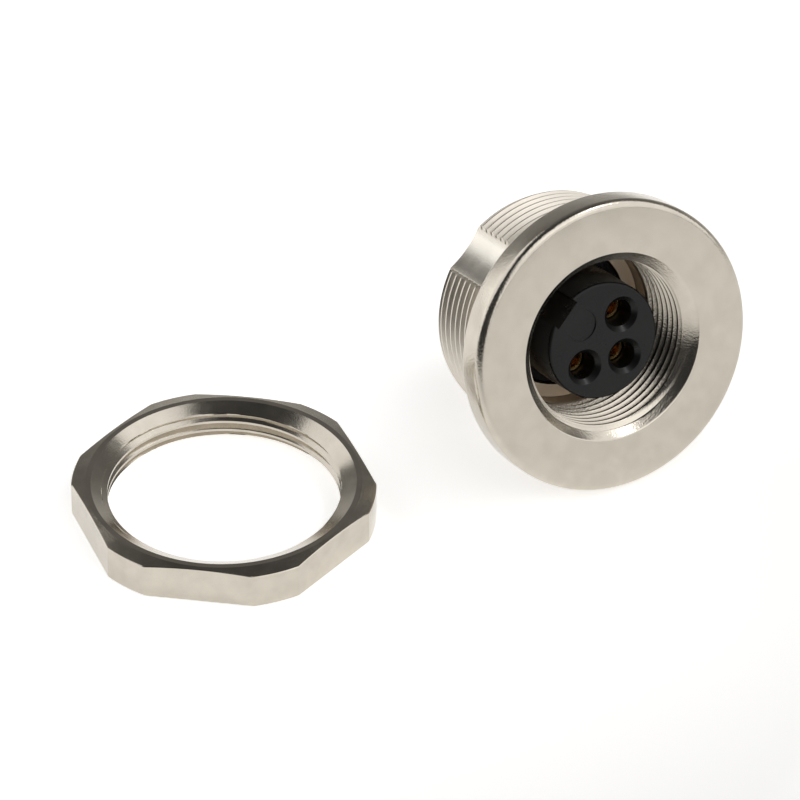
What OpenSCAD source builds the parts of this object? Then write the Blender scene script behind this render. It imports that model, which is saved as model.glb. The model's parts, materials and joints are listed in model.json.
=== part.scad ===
// Circular panel-mount sensor connector with its panel nut.
// A flanged shell carries a keyed contact carrier with three socket contacts.
// The nut is off the panel thread and lies flat beside the shell.
// All sizes are in millimetres. The table is the plane z = 0.

/* [Shell] */
// Length from the front face to the rear rim
shell_len = 7.5; // [6.5:0.1:10]
// Nominal diameter of the panel thread
panel_thread_d = 12; // [11.4:0.1:14]
// Pitch of the panel thread, the nut and the coupling thread
thread_pitch = 0.5; // [0.35:0.05:0.75]
// How far a thread crest stays below its nominal size, on the radius
crest_gap = 0.03; // [0.01:0.01:0.1]
// Length of the lead-in cone at the rear of the panel thread
lead_in_len = 0.45; // [0.2:0.05:0.8]
// Radial drop of the lead-in cone, down to the root of the thread
lead_in_drop = 0.29; // [0.1:0.01:0.4]

/* [Flange] */
// How far the flange stands out beyond the panel thread
flange_w = 1.5; // [1:0.05:3]
// Thickness of the flange
flange_t = 1.6; // [1:0.1:2.4]
// Radius of the rounded front edge
flange_round = 0.3; // [0.1:0.05:0.6]
// Chamfer on the back edge
flange_break = 0.15; // [0.05:0.05:0.35]

/* [Key groove] */
// Angle of the key slot and the outer groove, from the right, seen from the front
key_angle = 132.5; // [0:0.5:360]
// Depth of the lengthways groove in the panel thread
groove_depth = 0.4; // [0.2:0.05:0.6]
// Radius of the cutter that made the groove
groove_r = 3.8; // [1.5:0.1:6]
// How far the groove stops short of the flange
groove_stop = 0.1; // [0.05:0.05:0.5]

/* [Coupling socket] */
// Nominal diameter of the coupling thread
coupling_thread_d = 9; // [8.4:0.1:10]
// Radial width of the 45 degree chamfer at the mouth
mouth_chamfer = 0.62; // [0.2:0.02:0.9]
// Thickness of the shoulder between the socket and the carrier's seat
shoulder_t = 1; // [0.8:0.1:1.6]
// Radial width of the seat behind that shoulder
seat_w = 0.5; // [0.3:0.05:0.8]

/* [Contact carrier] */
// Diameter of the boss that the plug fits over
boss_d = 6; // [5.2:0.1:6.4]
// Depth of the boss's face below the front of the shell
boss_depth = 1; // [0.4:0.1:2]
// Rounding of the boss's front edge
boss_round = 0.15; // [0.05:0.05:0.3]
// Radial step from the boss to the collar that fills the shoulder hole
collar_step = 0.5; // [0.2:0.05:0.6]
// How far the collar reaches into the shoulder hole
collar_t = 0.8; // [0.4:0.05:1.1]
// Thickness of the carrier's seating flange
carrier_flange_t = 0.9; // [0.6:0.1:1.3]
// How far the hub stands out behind the shell
hub_out = 0.6; // [0.2:0.1:1.5]
// Width of the key slot
key_slot_w = 1.6; // [1:0.1:2]
// Depth of the key slot
key_slot_depth = 0.45; // [0.2:0.05:0.6]
// Diameter of the shallow moulded recess at the unused contact place
recess_d = 1.65; // [1:0.05:1.9]
// Depth of that recess
recess_depth = 0.08; // [0.04:0.02:0.2]

/* [Contacts] */
// Diameter of the circle that the contacts lie on
contact_circle_d = 3.15; // [2.9:0.05:3.5]
// Diameter of the contact's sleeve
contact_d = 1.25; // [1.15:0.05:1.4]
// Diameter of the pin that the sleeve takes
pin_d = 1; // [0.7:0.05:1]
// How far the sleeve's mouth lies below the boss's face
contact_drop = 1.4; // [0.5:0.1:2]
// Depth of the pin bore
pin_bore_len = 3; // [2:0.1:4]
// Length of the slit that makes the sleeve springy
slit_len = 2.4; // [1:0.1:2.8]
// Width of that slit
slit_w = 0.14; // [0.08:0.02:0.2]
// Chamfer at the mouth of each carrier hole
hole_chamfer = 0.18; // [0.05:0.01:0.25]
// Length of the solder cup behind the collar
cup_len = 3; // [2:0.1:3.6]
// Diameter of the solder cup
cup_d = 1.2; // [1:0.05:1.4]
// Bore of the solder cup
cup_bore_d = 0.86; // [0.6:0.02:0.9]
// Depth of the cup's bore, half of it open at the side
cup_bore_len = 2; // [1:0.1:2.5]
// Diameter of the collar that stops the contact on the hub
stop_d = 1.7; // [1.6:0.05:1.9]
// Thickness of that collar
stop_t = 0.3; // [0.2:0.05:0.5]

/* [Retaining ring] */
// Thickness of the ring pressed in behind the carrier
ring_t = 0.4; // [0.3:0.05:0.8]

/* [Panel nut] */
// Wall of the nut between the thread and the flats
nut_wall = 1; // [0.9:0.05:2.5]
// How far the turned corners stand out beyond the flats
nut_corner_w = 0.5; // [0.3:0.05:0.9]
// Height of the nut
nut_h = 2; // [1.6:0.1:3]
// Radial width of the countersink on both faces
nut_sink_w = 0.8; // [0.4:0.05:0.95]
// Half of the countersink's included angle
nut_sink_half_angle = 60; // [50:1:65]
// Radial width of the shallow cone on the upper corners
nut_cone_w = 0.7; // [0.3:0.05:0.8]
// Slope of that cone
nut_cone_slope = 16; // [10:1:30]

/* [Placing] */
// Turn of the connector's front to the right, in degrees
connector_yaw = 28.3; // [-90:0.1:90]
// Place of the front face's centre on the table, from the left
connector_x = 10; // [8:0.01:20]
// Place of the front face's centre on the table, from the front
connector_y = 0.11; // [-10:0.01:10]
// Place of the nut's axis, from the left
nut_x = -9.07; // [-20:0.01:-8]
// Place of the nut's axis, from the front
nut_y = -3.36; // [-10:0.01:10]
// Direction of the nut's front flat
nut_turn = -98.8; // [-180:0.1:180]

/* [Fits] */
// Radial clearance between pieces that are pushed together
fit_gap = 0.05; // [0.02:0.01:0.1]
// Radial clearance of the pressed ring in its seat
press_gap = 0.01; // [0.005:0.005:0.03]

/* [Hidden] */
$fn = 80;
// Number of sides round a contact and its hole, which are small
contact_fn = 40;
// How far a cut runs past the face that it opens
over = 0.1;
// Number of straight steps in a rounded edge
round_steps = 8;
// Depth of an internal thread, as a share of its pitch
internal_thread_share = 0.54127;

// Panel thread and flange
crest_r = panel_thread_d / 2 - crest_gap;
rear_r = crest_r - lead_in_drop;
flange_r = panel_thread_d / 2 + flange_w;
groove_centre = crest_r - groove_depth + groove_r;

// Socket, from the front face to the rear
coupling_minor_r = coupling_thread_d / 2 - internal_thread_share * thread_pitch;
mouth_r = coupling_minor_r + mouth_chamfer;
collar_r = boss_d / 2 + collar_step;
shoulder_r = collar_r + fit_gap;
seat_r = shoulder_r + seat_w;
seat_depth = shell_len - ring_t - carrier_flange_t;
socket_end = seat_depth - shoulder_t;

// Carrier and contacts. One of the places round the circle is unused
contact_places = 4;
boss_r = boss_d / 2;
carrier_r = seat_r - fit_gap;
hub_r = contact_circle_d / 2 + stop_d / 2 + fit_gap;
hub_rear = shell_len + hub_out;
hole_r = contact_d / 2 + fit_gap;
contact_front = boss_depth + contact_drop;
cup_front = hub_rear + stop_t;
cup_rear = cup_front + cup_len;
contact_step = 360 / contact_places;
mouth_bevel = (contact_d - pin_d) / 4;

// Ring
ring_r = seat_r - press_gap;
ring_hole_r = hub_r + fit_gap;

// Nut
nut_sides = 6;
nut_half_side = 180 / nut_sides;
nut_bore_r = panel_thread_d / 2 - internal_thread_share * thread_pitch;
nut_sink_r = nut_bore_r + nut_sink_w;
nut_sink_depth = nut_sink_w / tan(nut_sink_half_angle);
nut_flat_r = panel_thread_d / 2 + nut_wall;
nut_corner_r = nut_flat_r + nut_corner_w;
nut_cone_drop = nut_cone_w * tan(nut_cone_slope);

// The shell lies on the flange's back edge and on the thread's last full crest
rest_front = flange_t - flange_break;
rest_rear = shell_len - lead_in_len;
connector_tilt = atan((flange_r - crest_r) / (rest_rear - rest_front));
face_height = flange_r * cos(connector_tilt) + rest_front * sin(connector_tilt);

nickel = [0.77, 0.75, 0.71];
nickel_shade = [0.70, 0.68, 0.64];
black_plastic = [0.13, 0.13, 0.135];
gold = [0.83, 0.62, 0.28];

// Lays a piece modelled on its axis, front face up at z = 0, as it rests on the table
module laid_down() {
    translate([connector_x, connector_y, face_height])
        rotate([0, 0, connector_yaw])
            rotate([90 - connector_tilt, 0, 0])
                children();
}

// A straight hole or disc between two depths below the front face
module drill(front, rear, r) {
    translate([0, 0, -rear])
        cylinder(h = rear - front, r = r);
}

// Points of a quarter round on an outer front edge, for a half section
function front_round(edge_r, depth, r) =
    [for (step = [0 : round_steps])
        let (turn = 90 - 90 * step / round_steps)
        [edge_r - r + r * cos(turn), -depth - r + r * sin(turn)]];

// Moves a piece to one of the contact places, counted from the unused one, all turned alike
module at_contact(place) {
    round_turn = place * contact_step;
    rotate([0, 0, key_angle])
        translate([cos(round_turn) * contact_circle_d / 2, sin(round_turn) * contact_circle_d / 2, 0])
            children();
}

// Turned shell with the flange, both thread barrels and the carrier's seat
module shell() {
    color(nickel)
        laid_down()
            difference() {
                rotate_extrude()
                    shell_section();
                rotate([0, 0, key_angle])
                    translate([groove_centre, 0, 0])
                        drill(flange_t + groove_stop, shell_len + over, groove_r);
            }
}

// Half section of the shell: round the flange, along the panel thread and back through the hollow
module shell_section() {
    polygon(concat(
        front_round(flange_r, 0, flange_round),
        [[flange_r, -rest_front],
         [flange_r - flange_break, -flange_t],
         [crest_r, -flange_t],
         [crest_r, -rest_rear],
         [rear_r, -shell_len],
         [seat_r, -shell_len],
         [seat_r, -seat_depth],
         [shoulder_r, -seat_depth],
         [shoulder_r, -socket_end],
         [coupling_minor_r, -socket_end],
         [coupling_minor_r, -mouth_chamfer],
         [mouth_r, 0]]));
}

// Moulded carrier: keyed boss, collar, seating flange and rear hub
module contact_carrier() {
    color(black_plastic)
        laid_down()
            difference() {
                rotate_extrude()
                    carrier_section();
                key_slot();
                at_contact(0)
                    drill(boss_depth - over, boss_depth + recess_depth, recess_d / 2);
                for (place = [1 : contact_places - 1])
                    at_contact(place)
                        contact_hole();
            }
}

// Half section of the carrier, from the boss's face to the rear of the hub
module carrier_section() {
    flange_rear = shell_len - ring_t;
    polygon(concat(
        front_round(boss_r, boss_depth, boss_round),
        [[boss_r, -seat_depth + collar_t],
         [collar_r, -seat_depth + collar_t],
         [collar_r, -seat_depth],
         [carrier_r, -seat_depth],
         [carrier_r, -flange_rear],
         [hub_r, -flange_rear],
         [hub_r, -hub_rear],
         [0, -hub_rear],
         [0, -boss_depth]]));
}

// Straight slot down the side of the boss, as far as the collar
module key_slot() {
    slot_len = seat_depth - collar_t - boss_depth;
    rotate([0, 0, key_angle])
        translate([boss_r - key_slot_depth, -key_slot_w / 2, -boss_depth - slot_len])
            cube([key_slot_depth + over, key_slot_w, slot_len + over]);
}

// Hole for one contact, with a chamfered mouth
module contact_hole() {
    rotate_extrude($fn = contact_fn)
        polygon([[0, over - boss_depth],
                 [hole_r + hole_chamfer + over, over - boss_depth],
                 [hole_r, -boss_depth - hole_chamfer],
                 [hole_r, -hub_rear - over],
                 [0, -hub_rear - over]]);
}

// Turned socket contact: slit sleeve, stop collar and solder cup open at one side
module contact(place) {
    color(gold)
        laid_down()
            at_contact(place)
                difference() {
                    rotate_extrude($fn = contact_fn)
                        contact_section();
                    translate([-slit_w / 2, -contact_d, -contact_front - slit_len])
                        cube([slit_w, 2 * contact_d, slit_len + over]);
                    translate([0, -cup_d, -cup_rear - over])
                        cube([cup_d, 2 * cup_d, cup_bore_len / 2 + over]);
                }
}

// Half section of the contact: outside from front to rear, then the cup's bore and the pin's bore
module contact_section() {
    pin_r = pin_d / 2;
    pin_end = contact_front + pin_bore_len;
    cup_end = cup_rear - cup_bore_len;
    polygon([[pin_r + mouth_bevel, -contact_front],
             [contact_d / 2, -contact_front],
             [contact_d / 2, -hub_rear],
             [stop_d / 2, -hub_rear],
             [stop_d / 2, -cup_front],
             [cup_d / 2, -cup_front],
             [cup_d / 2, -cup_rear],
             [cup_bore_d / 2, -cup_rear],
             [cup_bore_d / 2, -cup_end],
             [0, -cup_end],
             [0, -pin_end],
             [pin_r, -pin_end],
             [pin_r, -contact_front - mouth_bevel]]);
}

// Ring pressed into the seat behind the carrier's flange
module retaining_ring() {
    color(nickel_shade)
        laid_down()
            difference() {
                drill(shell_len - ring_t, shell_len, ring_r);
                drill(shell_len - ring_t - over, shell_len + over, ring_hole_r);
            }
}

// Thin hexagon nut: turned corners, a shallow cone on top, countersunk on both faces
module panel_nut() {
    color(nickel)
        translate([nut_x, nut_y, 0])
            rotate([0, 0, nut_turn])
                intersection() {
                    rotate([0, 0, nut_half_side])
                        cylinder(h = nut_h, r = nut_flat_r / cos(nut_half_side), $fn = nut_sides);
                    rotate_extrude()
                        nut_section();
                }
}

// Half section of the nut, from the countersunk bore to the turned corners
module nut_section() {
    polygon([[nut_sink_r, 0],
             [nut_corner_r, 0],
             [nut_corner_r, nut_h - nut_cone_drop],
             [nut_corner_r - nut_cone_w, nut_h],
             [nut_sink_r, nut_h],
             [nut_bore_r, nut_h - nut_sink_depth],
             [nut_bore_r, nut_sink_depth]]);
}

shell();
contact_carrier();
retaining_ring();
contact(1);  // contact_1
contact(2);  // contact_2
contact(3);  // contact_3
panel_nut();
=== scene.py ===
# A circular panel connector and its hexagon panel nut, lying side by side on a pale table.
# Each piece is modelled upright on its own axis in millimetres and then put where the frame has it.
import json
import math

import bmesh
import bpy
from mathutils import Matrix, Vector


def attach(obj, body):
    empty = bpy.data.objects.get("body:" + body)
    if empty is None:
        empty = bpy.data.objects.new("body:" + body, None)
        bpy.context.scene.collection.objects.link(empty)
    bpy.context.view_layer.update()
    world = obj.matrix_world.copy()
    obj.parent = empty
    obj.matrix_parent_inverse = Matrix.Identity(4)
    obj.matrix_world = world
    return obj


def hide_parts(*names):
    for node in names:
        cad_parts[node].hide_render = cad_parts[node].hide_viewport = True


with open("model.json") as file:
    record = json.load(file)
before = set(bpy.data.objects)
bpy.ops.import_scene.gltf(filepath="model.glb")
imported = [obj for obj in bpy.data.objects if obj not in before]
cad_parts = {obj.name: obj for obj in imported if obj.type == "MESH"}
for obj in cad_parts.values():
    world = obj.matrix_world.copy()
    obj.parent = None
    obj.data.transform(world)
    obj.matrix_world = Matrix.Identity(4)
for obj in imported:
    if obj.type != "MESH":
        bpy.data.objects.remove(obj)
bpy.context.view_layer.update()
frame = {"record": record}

# Lie of the connector. It rests on the back edge of its flange and on the last full crest of its
# thread, so its axis points forwards and a little up. Upright, the front face is at height 0.
METRES = 0.001
mounts = {mount["name"]: mount for mount in frame["record"]["mounts"]}
facing = -Vector(mounts["panel_thread"]["axis"])
sideways = Vector((0, 0, 1)).cross(facing).normalized()
upwards = facing.cross(sideways)
flange_t = 1.6
panel_thread_len = mounts["panel_thread"]["dims"]["length_mm"]
thread_middle = flange_t + panel_thread_len / 2
face_centre = Vector(mounts["panel_thread"]["pos_m"]) + facing * thread_middle * METRES
turned_to_face = Matrix((sideways, upwards, facing)).transposed().to_4x4()
connector_lie = Matrix.Translation(face_centre) @ turned_to_face
lay_down = connector_lie @ Matrix.Scale(METRES, 4)


# Shell. Turned from brass bar, threaded outside for the panel and inside for the plug's ring,
# milled with one lengthways groove and plated with bright nickel. Its flange stops on the panel.
crest_r = mounts["panel_thread"]["dims"]["r_mm"]
shell_len = 7.5
lead_in_len = 0.45
edge_round = 0.05
flange_r = 7.5
flange_round = 0.38
flange_break = 0.15
coupling_minor_r = 4.229
mouth_r = 4.849
mouth_edge = 0.06
coupling_thread_len = 4.3
socket_end = 5.2
shoulder_r = 3.55
seat_depth = 6.2
seat_r = 4.05
key_angle = math.radians(132.5)
groove_half_w = 1.38
groove_wall = 0.18
groove_wall_depth = 0.25
groove_sag = 0.15
groove_stop = 0.1
groove_steps = 12
past_end = 1
pitch = 0.5
panel_thread_depth = 0.29
panel_run_out = 0.4
panel_rows = 12
coupling_thread_depth = 0.27
coupling_run_out = 0.25
inner_rows = 16
lead_in_r = crest_r - panel_thread_depth
SEGMENTS = 240


def linear(hex_colour):
    """An sRGB hex colour as linear red, green, blue and alpha."""
    parts = [int(hex_colour[i:i + 2], 16) / 255 for i in (1, 3, 5)]
    return [c / 12.92 if c <= 0.04045 else ((c + 0.055) / 1.055) ** 2.4 for c in parts] + [1.0]


def add(tree, kind, inputs=(), **settings):
    """Adds a node with its settings. inputs maps its sockets to values or to other nodes' outputs."""
    node = tree.nodes.new(kind)
    for name, value in settings.items():
        setattr(node, name, value)
    for socket, value in dict(inputs).items():
        if isinstance(value, bpy.types.NodeSocket):
            tree.links.new(value, node.inputs[socket])
        else:
            node.inputs[socket].default_value = value
    return node


def bright_nickel(name, to_axis, smooth_r):
    """Bright nickel plate over turned brass: a warm grey mirror, faintly clouded and pitted at its rims.
    Its colour is painted brown round the socket's shoulder, a painted reflection, and painted dark in the
    roots of the coupling thread, a painted shade. On the panel thread it is dull, and its colour is painted
    pale with a little brown, a painted reflection. smooth_r is the radius in the middle of the smooth face."""
    material = bpy.data.materials.new(name)
    material.use_nodes = True
    tree = material.node_tree
    shader = tree.nodes["Principled BSDF"]
    place = add(tree, "ShaderNodeTexCoord").outputs["Object"]
    upright_mm = add(tree, "ShaderNodeMapping", {
        "Vector": place, "Scale": [1 / METRES] * 3, "Rotation": to_axis.to_euler(),
        "Location": to_axis.translation / METRES}).outputs[0]
    flat = add(tree, "ShaderNodeVectorMath", {0: upright_mm, 1: (1, 1, 0)}, operation="MULTIPLY").outputs[0]
    # The tool's rings, the clouds and the pits are finer in the metal and are drawn coarser, to show
    ring_mm = 0.07
    ring_depth = 0.01
    ring_strength = 0.03
    cloud_mm = 0.9
    pit_mm = 0.09
    pit_depth = 0.02
    # Depths round which the socket is painted brown, a painted reflection, and the thread's roots painted
    # dark, a painted shade
    brown_depth = 5.5
    dark_depth = 2.5
    brown_dulling = 0.15
    bore_dulling = 0.07
    pits = add(tree, "ShaderNodeTexNoise", {
        "Vector": place, "Scale": 1 / (pit_mm * METRES), "Detail": 2.0}).outputs["Fac"]
    clouds = add(tree, "ShaderNodeTexNoise", {
        "Vector": place, "Scale": 1 / (cloud_mm * METRES), "Detail": 6.0}).outputs["Fac"]
    value = {
        "radius": add(tree, "ShaderNodeVectorMath", {0: flat}, operation="LENGTH").outputs["Value"],
        "height": add(tree, "ShaderNodeSeparateXYZ", {0: upright_mm}).outputs["Z"],
        "clouds": clouds}
    # Each line is a result, its operation and what it works on, in mm. SPAN takes a value, the two places
    # between which it changes, and what it gives at the first and at the second of them.
    for result, operation, *terms in (
            ("along cut", "ADD", "radius", "height"),
            # Round the socket's shoulder the colour is painted brown here, a painted reflection, and the
            # plate is made duller
            ("past shoulder", "ADD", "height", brown_depth),
            ("off shoulder", "ABSOLUTE", "past shoulder"),
            ("deep", "SPAN", "off shoulder", 1.6, 0.9, 0.0, 1.0),
            ("in bore", "SPAN", "radius", 4.7, 4.5, 0.0, 1.0),
            ("deep round shoulder", "MULTIPLY", "deep", "in bore"),
            ("behind flange", "SPAN", "height", 0.1 - flange_t, -0.1 - flange_t, 0.0, 1.0),
            # On the panel thread the colour is painted pale with a little brown, a painted reflection, and
            # the plate is made duller
            ("on panel thread", "SPAN", "radius", lead_in_r - 0.13, lead_in_r - 0.02, 0.0, 0.18),
            ("dull", "MULTIPLY", "behind flange", "on panel thread"),
            ("outside", "SPAN", "radius", 5.2, 5.3, 0.0, 0.7),
            ("painted paler thread", "MULTIPLY", "behind flange", "outside"),
            ("painted brown reflection", "ADD", "dull", "deep round shoulder"),
            # The roots of the coupling thread are painted dark here: a painted shade
            ("past thread", "ADD", "height", dark_depth),
            ("off thread", "ABSOLUTE", "past thread"),
            ("on coupling thread", "SPAN", "off thread", 1.95, 1.8, 0.0, 0.7),
            ("in root", "SPAN", "radius", 4.26, 4.44, 0.0, 1.0),
            ("in bore root", "MULTIPLY", "in root", "in bore"),
            ("painted root shade", "MULTIPLY", "in bore root", "on coupling thread"),
            ("cloudy", "SPAN", "clouds", 0.35, 0.65, 0.0, 1.0),
            ("polish", "SPAN", "clouds", 0.3, 0.7, 0.13, 0.20),
            ("dull or thin", "MULTIPLY_ADD", "deep round shoulder", brown_dulling, "dull"),
            ("dulling", "MULTIPLY_ADD", "in bore", bore_dulling, "dull or thin"),
            ("roughness", "ADD", "polish", "dulling"),
            ("past face", "SUBTRACT", "radius", smooth_r),
            ("off face", "ABSOLUTE", "past face"),
            ("pitting", "SPAN", "off face", 1.1, 1.3, 0.08, 0.5)):
        operands = {i: value.get(term, term) for i, term in enumerate(terms)}
        if operation == "SPAN":
            node = add(tree, "ShaderNodeMapRange", operands, label=result)
        else:
            node = add(tree, "ShaderNodeMath", operands, operation=operation, label=result)
        value[result] = node.outputs[0]
    tone = linear("#BFB8AC")
    # Cloudy is the plate's own random tone; the pale and brown tones are painted reflection, the dark one
    # painted shade
    for zone, colour in (
            ("cloudy", "#C7C0B4"), ("painted paler thread", "#DCD8D0"), ("painted brown reflection", "#C3B29D"), ("painted root shade", "#5E5346")):
        tone = add(tree, "ShaderNodeMix", {0: value[zone], 6: tone, 7: linear(colour)},
                   data_type="RGBA").outputs[2]
    rings = add(tree, "ShaderNodeTexNoise", {"W": value["along cut"], "Scale": 1 / ring_mm, "Detail": 2.0},
                noise_dimensions="1D").outputs["Fac"]
    turned = add(tree, "ShaderNodeBump", {
        "Height": rings, "Strength": ring_strength, "Distance": ring_depth * METRES}).outputs[0]
    pitted = add(tree, "ShaderNodeBump", {
        "Height": pits, "Strength": value["pitting"], "Distance": pit_depth * METRES,
        "Normal": turned}).outputs[0]
    for socket, output in (("Base Color", tone), ("Roughness", value["roughness"]), ("Normal", pitted)):
        tree.links.new(output, shader.inputs[socket])
    shader.inputs["Metallic"].default_value = 1.0
    return material


def thread_tree():
    """A nodes tree for a tube with a screw thread, cut back by a cone at either end."""
    tree = bpy.data.node_groups.new("screw_thread", "GeometryNodeTree")
    for name in ("Segments", "Rows"):
        tree.interface.new_socket(name, in_out="INPUT", socket_type="NodeSocketInt")
    for name in ("Row Height", "Row Shift", "Pitch", "Low End", "High End", "Crest Radius", "Depth", "Side",
                 "Crest Share", "Root Share", "Low Run-out", "High Run-out",
                 "Low Cone Radius", "Low Cone Slope", "High Cone Radius", "High Cone Slope"):
        tree.interface.new_socket(name, in_out="INPUT", socket_type="NodeSocketFloat")
    tree.interface.new_socket("Material", in_out="INPUT", socket_type="NodeSocketMaterial")
    tree.interface.new_socket("Geometry", in_out="OUTPUT", socket_type="NodeSocketGeometry")
    value = {socket.name: socket for socket in add(tree, "NodeGroupInput").outputs}
    spot = add(tree, "ShaderNodeSeparateXYZ", {0: add(tree, "GeometryNodeInputPosition").outputs[0]})
    value.update(u=spot.outputs["X"], v=spot.outputs["Y"])
    # Each line is a result, its operation and what it works on
    for name, operation, *terms in (
            ("turn", "ADD", "u", 0.5),
            ("angle", "MULTIPLY", "turn", math.tau),
            ("climb", "MULTIPLY", "turn", "Pitch"),
            ("share", "ADD", "v", 0.5),
            ("row", "MULTIPLY", "share", "Rows"),
            ("row z", "MULTIPLY", "row", "Row Height"),
            ("first z", "SUBTRACT", "Low End", "Pitch"),
            ("level z", "ADD", "row z", "first z"),
            ("free z", "ADD", "level z", "climb"),
            ("floor z", "MAXIMUM", "free z", "Low End"),
            ("z", "MINIMUM", "floor z", "High End"),
            ("above low", "SUBTRACT", "z", "Low End"),
            ("below high", "SUBTRACT", "High End", "z"),
            ("turns up", "DIVIDE", "above low", "Pitch"),
            ("lag", "SUBTRACT", "turns up", "turn"),
            ("phase", "SUBTRACT", "lag", "Row Shift"),
            ("part", "FRACT", "phase"),
            ("offset", "SUBTRACT", "part", 0.5),
            ("half wave", "ABSOLUTE", "offset"),
            ("wave", "MULTIPLY", "half wave", 2.0),
            ("over root", "SUBTRACT", "wave", "Root Share"),
            ("flats", "ADD", "Crest Share", "Root Share"),
            ("flank", "SUBTRACT", 1.0, "flats"),
            ("rise", "DIVIDE", "over root", "flank"),
            ("rise up", "MAXIMUM", "rise", 0.0),
            ("form", "MINIMUM", "rise up", 1.0),
            ("sunk", "SUBTRACT", 1.0, "form"),
            ("low fade", "DIVIDE", "above low", "Low Run-out"),
            ("low part", "MINIMUM", "low fade", 1.0),
            ("high fade", "DIVIDE", "below high", "High Run-out"),
            ("high part", "MINIMUM", "high fade", 1.0),
            ("fade", "MULTIPLY", "low part", "high part"),
            ("full cut", "MULTIPLY", "Depth", "sunk"),
            ("cut", "MULTIPLY", "full cut", "fade"),
            ("sided cut", "MULTIPLY", "cut", "Side"),
            ("thread r", "SUBTRACT", "Crest Radius", "sided cut"),
            ("low rise", "MULTIPLY", "above low", "Low Cone Slope"),
            ("low r", "ADD", "Low Cone Radius", "low rise"),
            ("high rise", "MULTIPLY", "below high", "High Cone Slope"),
            ("high r", "ADD", "High Cone Radius", "high rise"),
            ("sided thread", "MULTIPLY", "thread r", "Side"),
            ("sided low", "MULTIPLY", "low r", "Side"),
            ("sided high", "MULTIPLY", "high r", "Side"),
            ("cones", "MINIMUM", "sided low", "sided high"),
            ("sided r", "MINIMUM", "sided thread", "cones"),
            ("r", "MULTIPLY", "sided r", "Side"),
            ("cos", "COSINE", "angle"),
            ("sin", "SINE", "angle"),
            ("x", "MULTIPLY", "r", "cos"),
            ("y", "MULTIPLY", "r", "sin"),
            ("columns", "ADD", "Segments", 1.0),
            ("levels", "ADD", "Rows", 1.0)):
        operands = {i: value.get(term, term) for i, term in enumerate(terms)}
        value[name] = add(tree, "ShaderNodeMath", operands, operation=operation, label=name).outputs[0]
    grid = add(tree, "GeometryNodeMeshGrid", {
        "Size X": 1.0, "Size Y": 1.0, "Vertices X": value["columns"],
        "Vertices Y": value["levels"]}).outputs["Mesh"]
    point = add(tree, "ShaderNodeCombineXYZ", {0: value["x"], 1: value["y"], 2: value["z"]}).outputs[0]
    tube = add(tree, "GeometryNodeSetPosition", {"Geometry": grid, "Position": point}).outputs[0]
    seam = 0.0002
    merged = add(tree, "GeometryNodeMergeByDistance", {"Geometry": tube, "Distance": seam}).outputs[0]
    real = add(tree, "GeometryNodeRealizeInstances", {"Geometry": merged}).outputs[0]
    dressed = add(tree, "GeometryNodeSetMaterial", {
        "Geometry": real, "Material": value["Material"]}).outputs[0]
    add(tree, "NodeGroupOutput", {0: dressed})
    return tree


def plain_mesh(thing):
    """The evaluated mesh of an object, which is then deleted."""
    bpy.context.view_layer.update()
    depsgraph = bpy.context.evaluated_depsgraph_get()
    mesh = bpy.data.meshes.new_from_object(thing.evaluated_get(depsgraph))
    bpy.data.objects.remove(thing)
    return mesh


def link_object(name, mesh):
    """A new object in the scene."""
    thing = bpy.data.objects.new(name, mesh)
    bpy.context.scene.collection.objects.link(thing)
    return thing


def nodes_mesh(tree, settings, base=None):
    """Runs a nodes tree with its named inputs set and returns the plain mesh."""
    carrier = link_object("nodes_carrier", base or bpy.data.meshes.new("empty"))
    modifier = carrier.modifiers.new("nodes", "NODES")
    modifier.node_group = tree
    for item in tree.interface.items_tree:
        if item.in_out == "INPUT" and item.name in settings:
            modifier[item.identifier] = settings[item.name]
    return plain_mesh(carrier)


def cut_thread(low, high, crest, depth, side, material, rows_per_turn, more):
    """The mesh of one threaded tube. side is 1 for an outside thread and -1 for an inside one."""
    open_cone = 100.0 if side > 0 else 0.0
    no_run_out = 1e-6
    turns = math.ceil((high - low) / pitch) + 1
    settings = {
        "Segments": SEGMENTS, "Rows": turns * rows_per_turn, "Row Height": pitch / rows_per_turn,
        "Row Shift": 0.0, "Pitch": pitch, "Low End": low, "High End": high,
        "Crest Radius": crest, "Depth": depth, "Side": float(side), "Crest Share": 0.25, "Root Share": 0.125,
        "Low Run-out": no_run_out, "High Run-out": no_run_out,
        "Low Cone Radius": open_cone, "Low Cone Slope": 0.0,
        "High Cone Radius": open_cone, "High Cone Slope": 0.0, "Material": material}
    settings.update(more)
    return nodes_mesh(screw_thread, settings)


def rounded(corners, steps=6):
    """A profile of (radius, height) points from (radius, height, fillet) corners."""
    points = []
    for i, (radius, height, fillet) in enumerate(corners):
        corner = Vector((radius, height))
        if not fillet:
            points.append(corner)
            continue
        before = (Vector(corners[i - 1][:2]) - corner).normalized()
        after = (Vector(corners[i + 1][:2]) - corner).normalized()
        half = before.angle(after) / 2
        centre = corner + (before + after).normalized() * (fillet / math.sin(half))
        start = corner + before * (fillet / math.tan(half)) - centre
        sweep = start.angle_signed(corner + after * (fillet / math.tan(half)) - centre)
        points += [centre + Matrix.Rotation(-sweep * k / steps, 2) @ start for k in range(steps + 1)]
    return points


def turn_on_lathe(shape, profile, segments=SEGMENTS):
    """Skins a turned surface through (radius, height) points. Either may be a function of the angle."""
    rings = []
    for radius, height in profile:
        ring = []
        for i in range(segments):
            angle = math.tau * i / segments
            r = radius(angle) if callable(radius) else radius
            z = height(angle) if callable(height) else height
            ring.append(shape.verts.new((r * math.cos(angle), r * math.sin(angle), z)))
        rings.append(ring)
    for lower, upper in zip(rings, rings[1:]):
        for i in range(segments):
            shape.faces.new((lower[i - 1], lower[i], upper[i], upper[i - 1]))


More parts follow.
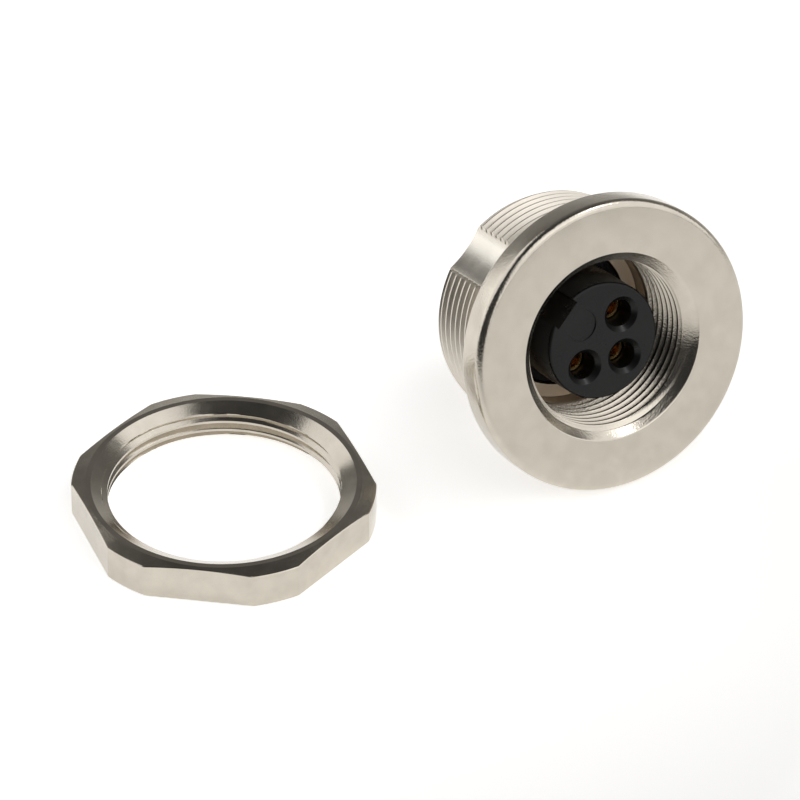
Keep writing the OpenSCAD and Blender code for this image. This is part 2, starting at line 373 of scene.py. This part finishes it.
def closed_mesh(shape, name, seam=0.0005):
    """Merges seams and poles, turns all faces outwards and returns the mesh."""
    bmesh.ops.remove_doubles(shape, verts=shape.verts, dist=seam)
    bmesh.ops.dissolve_degenerate(shape, edges=shape.edges, dist=seam / 5)
    bmesh.ops.recalc_face_normals(shape, faces=shape.faces)
    mesh = bpy.data.meshes.new(name)
    shape.to_mesh(mesh)
    shape.free()
    return mesh


def cut_away(mesh, cutters):
    """Takes solid meshes out of a closed mesh."""
    piece = link_object("being_cut", mesh)
    knives = [link_object("knife", cutter) for cutter in cutters]
    for knife in knives:
        step = piece.modifiers.new("cut", "BOOLEAN")
        step.operation = "DIFFERENCE"
        step.solver = "EXACT"
        step.object = knife
    result = plain_mesh(piece)
    for knife in knives:
        bpy.data.objects.remove(knife)
    return result


def finish_piece(name, mesh, place, material, replaced, sharp=math.radians(28)):
    """Puts a finished mesh in the frame, with one material, in the stead of its CAD nodes."""
    mesh.transform(place)
    mesh.materials.clear()
    mesh.materials.append(material)
    mesh.shade_smooth()
    mesh.set_sharp_from_angle(angle=sharp)
    piece = link_object(name, mesh)
    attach(piece, "root")
    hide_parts(*replaced)
    return piece


screw_thread = thread_tree()
shell_nickel = bright_nickel("bright_nickel_on_turned_shell", connector_lie.inverted(), smooth_r=6.0)
panel_thread = cut_thread(
    -shell_len, -flange_t, crest_r, panel_thread_depth, 1, shell_nickel, panel_rows, {
        "Crest Share": 2 / panel_rows, "Root Share": 2 / panel_rows, "High Run-out": panel_run_out,
        "Low Cone Radius": lead_in_r, "Low Cone Slope": panel_thread_depth / lead_in_len})
coupling_thread = cut_thread(
    -coupling_thread_len, -mouth_edge, coupling_minor_r, coupling_thread_depth, -1, shell_nickel,
    inner_rows, {
        "Row Shift": 0.5, "Low Run-out": coupling_run_out,
        "High Cone Radius": mouth_r - mouth_edge, "High Cone Slope": -1.0})
shape = bmesh.new()
shape.from_mesh(panel_thread)
shape.from_mesh(coupling_thread)
turn_on_lathe(shape, rounded([
    (mouth_r - mouth_edge, -mouth_edge, 0),
    (mouth_r, 0, 2 * mouth_edge),
    (flange_r, 0, flange_round),
    (flange_r, -flange_t, flange_break),
    (crest_r, -flange_t, 0)], steps=10))
turn_on_lathe(shape, rounded([
    (lead_in_r, -shell_len, 0),
    (seat_r, -shell_len, edge_round),
    (seat_r, -seat_depth, 0),
    (shoulder_r, -seat_depth, 0),
    (shoulder_r, -socket_end, edge_round),
    (coupling_minor_r, -socket_end, edge_round),
    (coupling_minor_r, -coupling_thread_len, 0)]))
whole_shell = closed_mesh(shape, "shell")
# The groove's steep walls start at its edges, and its floor sags a little between them
edge_x = math.sqrt(crest_r ** 2 - groove_half_w ** 2)
floor_half_w = groove_half_w - groove_wall
section = [(edge_x + 2 * groove_wall_depth, groove_half_w + 2 * groove_wall)]
for step in range(-groove_steps, groove_steps + 1):
    share = -step / groove_steps
    section.append((edge_x - groove_wall_depth - groove_sag * (1 - share ** 2), floor_half_w * share))
section.append((edge_x + 2 * groove_wall_depth, -groove_half_w - 2 * groove_wall))
knife = bmesh.new()
levels = (-shell_len - past_end, -flange_t - groove_stop)
ends = [[knife.verts.new((x, y, z)) for x, y in section] for z in levels]
for end in ends:
    knife.faces.new(end)
for i in range(len(section)):
    knife.faces.new((ends[0][i - 1], ends[0][i], ends[1][i], ends[1][i - 1]))
groove_knife = closed_mesh(knife, "groove_knife")
groove_knife.transform(Matrix.Rotation(key_angle, 4, "Z"))
shell_mesh = cut_away(whole_shell, [groove_knife])
finish_piece("threaded_shell", shell_mesh, lay_down, shell_nickel, ["shell"])


# Contact carrier. Moulded in black glass-filled plastic: a keyed boss for the plug, a collar, a seating
# flange and a rear hub, with a straight hole for each contact. It is pushed into the shell from behind.
boss_r = 3.0
boss_depth = 1.0
boss_round = 0.15
collar_r = 3.5
collar_depth = 5.4
carrier_r = 4.0
carrier_rear = 7.1
hub_r = 2.475
hub_rear = 8.1
hub_round = 0.08
key_slot_w = 1.6
key_slot_depth = 0.45
key_slot_stop = 0.01
recess_r = 0.825
recess_depth = 0.08
contact_circle_r = 1.575
contact_places = 4
hole_r = 0.675
hole_chamfer = 0.25
hole_round = 0.06
over = 0.1
SMALL_SEGMENTS = 72


def lathe_knife(place, profile):
    """A small turned solid at one of the places on the contact circle, to be cut away."""
    solid = bmesh.new()
    turn_on_lathe(solid, profile, segments=SMALL_SEGMENTS)
    mesh = closed_mesh(solid, "knife")
    turn = Matrix.Rotation(key_angle + place * math.tau / contact_places, 4, "Z")
    mesh.transform(turn @ Matrix.Translation((contact_circle_r, 0, 0)))
    return mesh


def box_knife(low, high, turn):
    """A box between two corners, turned about the axis, to be cut away."""
    solid = bmesh.new()
    middle = (Vector(low) + Vector(high)) / 2
    size = Vector(high) - Vector(low)
    place = Matrix.Rotation(turn, 4, "Z") @ Matrix.Translation(middle) @ Matrix.Diagonal((*size, 1))
    bmesh.ops.create_cube(solid, matrix=place)
    return closed_mesh(solid, "knife")


shape = bmesh.new()
turn_on_lathe(shape, rounded([
    (0, -boss_depth, 0),
    (boss_r, -boss_depth, boss_round),
    (boss_r, -collar_depth, edge_round),
    (collar_r, -collar_depth, edge_round),
    (collar_r, -seat_depth, 0),
    (carrier_r, -seat_depth, edge_round),
    (carrier_r, -carrier_rear, 0),
    (hub_r, -carrier_rear, 0),
    (hub_r, -hub_rear, hub_round),
    (0, -hub_rear, 0)]))
contact_hole = rounded([
    (0, over - boss_depth, 0),
    (hole_r + hole_chamfer + over, over - boss_depth, 0),
    (hole_r, -boss_depth - hole_chamfer, hole_round),
    (hole_r, -hub_rear - over, 0),
    (0, -hub_rear - over, 0)])
recess = rounded([
    (0, over - boss_depth, 0),
    (recess_r, over - boss_depth, 0),
    (recess_r, -boss_depth - recess_depth, edge_round),
    (0, -boss_depth - recess_depth, 0)])
key_slot = box_knife((boss_r - key_slot_depth, -key_slot_w / 2, -collar_depth + key_slot_stop),
                     (boss_r + over, key_slot_w / 2, over - boss_depth), key_angle)
contact_holes = [lathe_knife(place, contact_hole) for place in range(1, contact_places)]
carrier_mesh = cut_away(closed_mesh(shape, "carrier"), [key_slot, lathe_knife(0, recess)] + contact_holes)
# The fine grain of the mould gives the black plastic a soft grey sheen instead of a mirror. The grain is
# drawn coarser than it is, so that it shows.
plastic = bpy.data.materials.new("black_glass_filled_plastic_as_moulded")
plastic.use_nodes = True
tree = plastic.node_tree
shader = tree.nodes["Principled BSDF"]
spot = add(tree, "ShaderNodeTexCoord").outputs["Object"]
grain_mm = 0.12
grain_depth = 0.02
grain_strength = 0.06
grain = add(tree, "ShaderNodeTexNoise", {
    "Vector": spot, "Scale": 1 / (grain_mm * METRES), "Detail": 3.0}).outputs["Fac"]
cloud_mm = 1.1
cloud = add(tree, "ShaderNodeTexNoise", {
    "Vector": spot, "Scale": 1 / (cloud_mm * METRES), "Detail": 2.0}).outputs["Fac"]
tone = add(tree, "ShaderNodeMix", {0: cloud, 6: linear("#0A0A0A"), 7: linear("#111110")},
           data_type="RGBA").outputs[2]
rough = add(tree, "ShaderNodeMapRange", {
    "Value": cloud, "From Min": 0.3, "From Max": 0.7, "To Min": 0.26, "To Max": 0.36}).outputs[0]
bump = add(tree, "ShaderNodeBump", {
    "Height": grain, "Strength": grain_strength, "Distance": grain_depth * METRES}).outputs[0]
for socket, output in (("Base Color", tone), ("Roughness", rough), ("Normal", bump)):
    tree.links.new(output, shader.inputs[socket])
shader.inputs["Specular IOR Level"].default_value = 0.26
finish_piece("contact_carrier_moulding", carrier_mesh, lay_down, plastic,
             ["contact_carrier"])


# Contacts. Three sockets turned from brass and gold plated: a sleeve slit across its mouth that grips
# the plug's pin, a collar that stops on the carrier's hub, and a solder cup that is open at one side.
sleeve_r = 0.625
pin_r = 0.5
sleeve_front = 2.4
pin_end = 5.4
mouth_bevel = 0.0625
slit_len = 2.4
slit_w = 0.14
stop_r = 0.85
cup_front = 8.4
cup_outer_r = 0.6
cup_rear = 11.4
cup_r = 0.43
cup_bottom = 9.4
cup_opening = 1.0
contact_round = 0.03
cup_lip_round = 0.02
knife_reach = 1
contact_tree = bpy.data.node_groups.new("contact_circle", "GeometryNodeTree")
for name, kind in (
        ("Geometry", "Geometry"), ("Count", "Int"), ("Circle Radius", "Float"), ("First Angle", "Float"),
        ("Step Angle", "Float"), ("Turn", "Float"), ("Material", "Material")):
    contact_tree.interface.new_socket(name, in_out="INPUT", socket_type="NodeSocket" + kind)
contact_tree.interface.new_socket("Geometry", in_out="OUTPUT", socket_type="NodeSocketGeometry")
given = add(contact_tree, "NodeGroupInput").outputs
index = add(contact_tree, "GeometryNodeInputIndex").outputs[0]
angle = add(contact_tree, "ShaderNodeMath", {
    0: index, 1: given["Step Angle"], 2: given["First Angle"]}, operation="MULTIPLY_ADD").outputs[0]
turn = add(contact_tree, "ShaderNodeCombineXYZ", {2: given["Turn"]}).outputs[0]
arm = add(contact_tree, "ShaderNodeCombineXYZ", {0: given["Circle Radius"]}).outputs[0]
spot = add(contact_tree, "ShaderNodeVectorRotate", {
    "Vector": arm, "Angle": angle}, rotation_type="Z_AXIS").outputs[0]
points = add(contact_tree, "GeometryNodePoints", {"Count": given["Count"], "Position": spot}).outputs[0]
placed = add(contact_tree, "GeometryNodeInstanceOnPoints", {
    "Points": points, "Instance": given["Geometry"], "Rotation": turn}).outputs[0]
real = add(contact_tree, "GeometryNodeRealizeInstances", {"Geometry": placed}).outputs[0]
dressed = add(contact_tree, "GeometryNodeSetMaterial", {
    "Geometry": real, "Material": given["Material"]}).outputs[0]
add(contact_tree, "NodeGroupOutput", {0: dressed})
shape = bmesh.new()
turn_on_lathe(shape, rounded([
    (0, -pin_end, 0),
    (pin_r, -pin_end, 0),
    (pin_r, -sleeve_front - mouth_bevel, 0),
    (pin_r + mouth_bevel, -sleeve_front, 0),
    (sleeve_r, -sleeve_front, contact_round),
    (sleeve_r, -hub_rear, 0),
    (stop_r, -hub_rear, contact_round),
    (stop_r, -cup_front, edge_round),
    (cup_outer_r, -cup_front, 0),
    (cup_outer_r, -cup_rear, contact_round),
    (cup_r, -cup_rear, cup_lip_round),
    (cup_r, -cup_bottom, 0),
    (0, -cup_bottom, 0)], steps=4), segments=SMALL_SEGMENTS)
slit = box_knife((-slit_w / 2, -knife_reach, -sleeve_front - slit_len),
                 (slit_w / 2, knife_reach, over - sleeve_front), 0)
scoop = box_knife((0, -knife_reach, -cup_rear - over), (knife_reach, knife_reach, cup_opening - cup_rear), 0)
one_contact = cut_away(closed_mesh(shape, "contact"), [slit, scoop])
# Gold flashed over nickel: a deep yellow mirror, in patches duller and redder where the plate is thin
gold = bpy.data.materials.new("gold_plate_on_turned_contact")
gold.use_nodes = True
tree = gold.node_tree
shader = tree.nodes["Principled BSDF"]
spot = add(tree, "ShaderNodeTexCoord").outputs["Object"]
patch_mm = 0.4
patch = add(tree, "ShaderNodeTexNoise", {
    "Vector": spot, "Scale": 1 / (patch_mm * METRES), "Detail": 3.0}).outputs["Fac"]
tone = add(tree, "ShaderNodeMix", {0: patch, 6: linear("#D2A867"), 7: linear("#E3C184")},
           data_type="RGBA").outputs[2]
rough = add(tree, "ShaderNodeMapRange", {
    "Value": patch, "From Min": 0.3, "From Max": 0.7, "To Min": 0.22, "To Max": 0.34}).outputs[0]
for socket, output in (("Base Color", tone), ("Roughness", rough)):
    tree.links.new(output, shader.inputs[socket])
shader.inputs["Metallic"].default_value = 1.0
step_angle = math.tau / contact_places
contacts_mesh = nodes_mesh(contact_tree, {
    "Count": contact_places - 1, "Circle Radius": contact_circle_r, "First Angle": key_angle + step_angle,
    "Step Angle": step_angle, "Turn": key_angle, "Material": gold}, base=one_contact)
finish_piece("socket_contacts", contacts_mesh, lay_down, gold,
             ["contact_1", "contact_2", "contact_3"])


# Retaining ring. A flat ring turned from brass, nickel plated and pressed into the rear of the shell.
# It holds the carrier's flange against the shoulder.
ring_r = 4.04
ring_hole_r = 2.525
ring_front = 7.1
shape = bmesh.new()
turn_on_lathe(shape, rounded([
    (ring_hole_r, -shell_len, edge_round),
    (ring_hole_r, -ring_front, 0),
    (ring_r, -ring_front, 0),
    (ring_r, -shell_len, edge_round),
    (ring_hole_r + 2 * edge_round, -shell_len, 0),
    (ring_hole_r + edge_round, -shell_len, 0)]))
ring_nickel = bright_nickel("satin_nickel_on_turned_ring", connector_lie.inverted(), smooth_r=6.0)
finish_piece("rear_retaining_ring", closed_mesh(shape, "ring"), lay_down, ring_nickel,
             ["retaining_ring"])


# Panel nut. Turned and threaded from hexagon bar, with one shallow cone on the corners and a
# countersink on each face, then nickel plated. It is off its thread and lies flat on the table.
nut_spot = Vector(mounts["nut_thread"]["pos_m"])
nut_flat_angle = math.radians(-98.8)
nut_flat_r = 7.0
nut_corner_r = 7.5
nut_h = 2.0
nut_bore_r = mounts["nut_thread"]["dims"]["r_mm"]
nut_sink_r = 6.529
nut_sink_slope = math.tan(math.radians(60))
nut_cone_w = 0.7
nut_cone_slope = math.tan(math.radians(16))
nut_edge = 0.04
nut_lie = Matrix.Translation((nut_spot.x, nut_spot.y, 0)) @ Matrix.Rotation(nut_flat_angle, 4, "Z")


def nut_outline(angle):
    """Radius of the hexagon with turned corners."""
    half_side = math.radians(30)
    from_flat = (angle + half_side) % (2 * half_side) - half_side
    return min(nut_flat_r / math.cos(from_flat), nut_corner_r)


def nut_shoulder(angle):
    """Height at which the side meets the shallow cone."""
    return nut_h - (nut_outline(angle) - nut_corner_r + nut_cone_w) * nut_cone_slope


nut_nickel = bright_nickel("bright_nickel_on_turned_nut", nut_lie.inverted(), smooth_r=6.9)
nut_thread = cut_thread(0.0, nut_h, nut_bore_r, coupling_thread_depth, -1, nut_nickel, inner_rows, {
    "Low Cone Radius": nut_sink_r, "Low Cone Slope": -nut_sink_slope,
    "High Cone Radius": nut_sink_r, "High Cone Slope": -nut_sink_slope})
shape = bmesh.new()
shape.from_mesh(nut_thread)
turn_on_lathe(shape, [
    (nut_sink_r, 0),
    (lambda a: nut_outline(a) - nut_edge, 0),
    (nut_outline, nut_edge),
    (nut_outline, lambda a: nut_shoulder(a) - nut_edge / 2),
    (lambda a: nut_outline(a) - nut_edge, lambda a: nut_shoulder(a) + nut_edge * nut_cone_slope),
    (nut_corner_r - nut_cone_w, nut_h),
    (nut_sink_r, nut_h)])
nut_mesh = closed_mesh(shape, "nut")
finish_piece("hexagon_nut", nut_mesh, nut_lie @ Matrix.Scale(METRES, 4), nut_nickel,
             ["panel_nut"], sharp=math.radians(10))


# Table. A sheet of opal acrylic, as used for product photos. Opal is milk white and matt. Its glow is
# painted light in
# place of lamps below it: it glows brightest round a spot at the left rear and one at the right, and dimmer
# towards the front.
table_half_w = 1.0
dim_glow = 0.05
opal = bpy.data.materials.new("opal_acrylic_with_painted_glow")
opal.use_nodes = True
tree = opal.node_tree
shader = tree.nodes["Principled BSDF"]
spot = add(tree, "ShaderNodeTexCoord").outputs["Object"]
painted_glow_pools = []
# Each line is a painted pool of glow: its centre across and along in mm, the reach in mm within which it is
# full and where it has faded, and its strength
for glow_x, glow_y, lit_mm, dim_mm, glow in ((-60, 60, 66, 150, 0.67), (78, -32, 48, 88, 0.39)):
    from_glow_centre = add(tree, "ShaderNodeMapping", {
        "Vector": spot, "Location": (-glow_x * METRES, -glow_y * METRES, 0)}).outputs[0]
    reach = add(tree, "ShaderNodeVectorMath", {0: from_glow_centre}, operation="LENGTH").outputs["Value"]
    painted_glow_pools.append(add(tree, "ShaderNodeMapRange", {
        "Value": reach, "From Min": lit_mm * METRES, "From Max": dim_mm * METRES,
        "To Min": glow, "To Max": dim_glow}, interpolation_type="SMOOTHSTEP").outputs[0])
brighter = add(tree, "ShaderNodeMath", {0: painted_glow_pools[0], 1: painted_glow_pools[1]}, operation="MAXIMUM").outputs[0]
tree.links.new(brighter, shader.inputs["Emission Strength"])
shader.inputs["Emission Color"].default_value = linear("#FFFFFF")
shader.inputs["Base Color"].default_value = linear("#F7F6F4")
shader.inputs["Roughness"].default_value = 0.9
shape = bmesh.new()
bmesh.ops.create_grid(shape, x_segments=1, y_segments=1, size=table_half_w)
table = link_object("table", closed_mesh(shape, "table"))
table.data.materials.append(opal)


# Light. A large soft box on either side, a smaller one in front, a small lamp close above the connector
# and a dim room, which is dark in front and overhead and grey low at the back.
low_grey = (0.52, 0.51, 0.49, 1)
high_grey = (0.075, 0.074, 0.072, 1)
front_grey = (0.05, 0.05, 0.05, 1)
warm_grey = (1.0, 0.985, 0.95)
room = bpy.data.worlds.new("dim_room")
bpy.context.scene.world = room
room.use_nodes = True
tree = room.node_tree
way = add(tree, "ShaderNodeSeparateXYZ", {0: add(tree, "ShaderNodeTexCoord").outputs["Generated"]})
ramp = add(tree, "ShaderNodeValToRGB", {0: way.outputs["Z"]})
stops = ramp.color_ramp.elements
stops[0].position = 0.0
stops[0].color = low_grey
stops[1].position = 0.92
stops[1].color = high_grey
for height, grey in ((0.12, 0.45), (0.28, 0.25), (0.45, 0.165), (0.7, 0.165)):
    stop = stops.new(height)
    stop.color = [grey * share for share in warm_grey] + [1]
to_back = add(tree, "ShaderNodeMapRange", {
    "Value": way.outputs["Y"], "From Min": -0.25, "From Max": 0.35},
    interpolation_type="SMOOTHSTEP").outputs[0]
seen = add(tree, "ShaderNodeMix", {0: to_back, 6: front_grey, 7: ramp.outputs[0]},
           data_type="RGBA").outputs[2]
tree.links.new(seen, tree.nodes["Background"].inputs["Color"])
# Each line is a lamp, its bearing and rise in degrees, its reach and size in metres, and its brightness.
# A square metre of lamp takes 4 watts for a brightness of 1.
AREA_WATTS = 4
for name, bearing, rise, reach, width, height, brightness in (
        ("soft_box_right", 62, 39, 0.42, 0.70, 0.64, 0.95),
        ("soft_box_front", 44, 44, 0.40, 0.24, 0.20, 0.35),
        ("soft_box_left", -100.5, 27.5, 0.42, 0.492, 0.46, 0.85),
        ("small_lamp", 93.7, 61.2, 0.0712, 0.0114, 0.0114, 6.0)):
    lamp = bpy.data.lights.new(name, "AREA")
    lamp.shape = "RECTANGLE"
    lamp.size = width
    lamp.size_y = height
    lamp.energy = AREA_WATTS * width * height * brightness
    box = bpy.data.objects.new(name, lamp)
    bpy.context.scene.collection.objects.link(box)
    turned = Matrix.Rotation(math.radians(bearing), 3, "Z")
    raised = Matrix.Rotation(-math.radians(rise), 3, "X")
    box.location = turned @ raised @ Vector((0, -reach, 0))
    box.rotation_euler = box.location.to_track_quat("Z", "Y").to_euler()
    box.visible_camera = False


# Camera. A long lens in front of the pieces, looking down on them, so that far edges stay nearly as long
# as near ones.
elevation = math.radians(37.28)
aim = Vector((-0.423, 5.828, 0)) * METRES
camera_reach = 0.360
lens = bpy.data.cameras.new("camera")
lens.lens = 322.5
lens.sensor_width = 36
lens.clip_start = 0.01
camera = bpy.data.objects.new("camera", lens)
bpy.context.scene.collection.objects.link(camera)
camera.location = aim + Vector((0, -math.cos(elevation), math.sin(elevation))) * camera_reach
camera.rotation_euler = (math.radians(90) - elevation, 0, 0)
bpy.context.scene.camera = camera
bpy.context.scene.view_settings.view_transform = "Standard"
